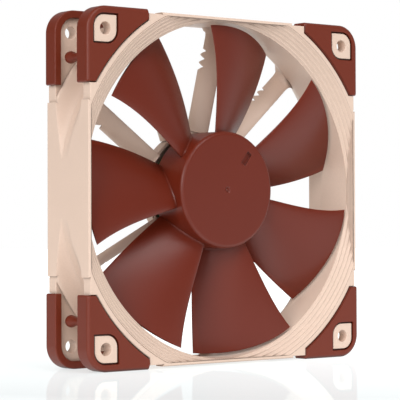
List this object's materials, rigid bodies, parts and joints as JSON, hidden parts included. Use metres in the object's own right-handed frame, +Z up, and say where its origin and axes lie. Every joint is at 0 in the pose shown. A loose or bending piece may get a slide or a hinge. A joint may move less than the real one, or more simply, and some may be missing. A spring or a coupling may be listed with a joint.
{
  "type": "case fan",
  "caption": "Square axial case fan with a bladed impeller on a hub motor, fixed guide vanes behind it, a stepped inlet ring, open screw flanges and soft corner pads.",
  "frame": {"origin": "centre of the fan on its axis, halfway through its depth", "axes": "the fan axis lies along Y with the intake side towards -Y and the exhaust side towards +Y, +X is to the right seen from the intake, +Z is up"},
  "size_m": [0.12, 0.025, 0.12],
  "materials": {
    "frame_plastic": "satin moulded plastic",
    "impeller_plastic": "fine satin moulded plastic",
    "pad_rubber": "soft matte silicone rubber",
    "steel": "rolled and ground steel",
    "coated_steel": "black electrocoated deep-drawn steel",
    "brass": "turned brass",
    "sintered_bronze": "oil-soaked sintered bronze",
    "copper_wire": "enamelled copper wire",
    "ferrite": "matte bonded ferrite",
    "black_plastic": "moulded nylon",
    "board_laminate": "coated glass-fibre board",
    "wear_plastic": "self-lubricating plastic",
    "label_paper": "blank coated label"
  },
  "bodies": {
    "frame": {"frame_shroud": "frame_plastic", "screw_flanges": "frame_plastic", "guide_vanes": "frame_plastic", "motor_base": "frame_plastic", "pad_intake_top_left": "pad_rubber", "pad_intake_top_right": "pad_rubber", "pad_intake_bottom_left": "pad_rubber", "pad_intake_bottom_right": "pad_rubber", "pad_exhaust_top_left": "pad_rubber", "pad_exhaust_top_right": "pad_rubber", "pad_exhaust_bottom_left": "pad_rubber", "pad_exhaust_bottom_right": "pad_rubber", "bearing_shell": "brass", "sleeve_bearing": "sintered_bronze", "oil_seal": "black_plastic", "thrust_plate": "wear_plastic", "bearing_magnet": "ferrite", "stator_core": "steel", "front_insulator": "black_plastic", "rear_insulator": "black_plastic", "coil_top": "copper_wire", "coil_left": "copper_wire", "coil_bottom": "copper_wire", "coil_right": "copper_wire", "circuit_board": "board_laminate", "hall_sensor": "black_plastic", "driver_chip": "black_plastic", "board_capacitors": "ferrite", "board_resistors": "black_plastic", "rear_label": "label_paper"},
    "rotor": {"impeller": "impeller_plastic", "rotor_yoke": "coated_steel", "ring_magnet": "ferrite", "shaft_bush": "brass", "shaft": "steel", "retaining_clip": "wear_plastic"}
  },
  "joints": [
    {"name": "impeller_spin", "type": "hinge", "parent": "frame", "child": "rotor", "pos_m": [0, 0, 0], "axis": [0, -1, 0], "continuous": true}
  ]
}
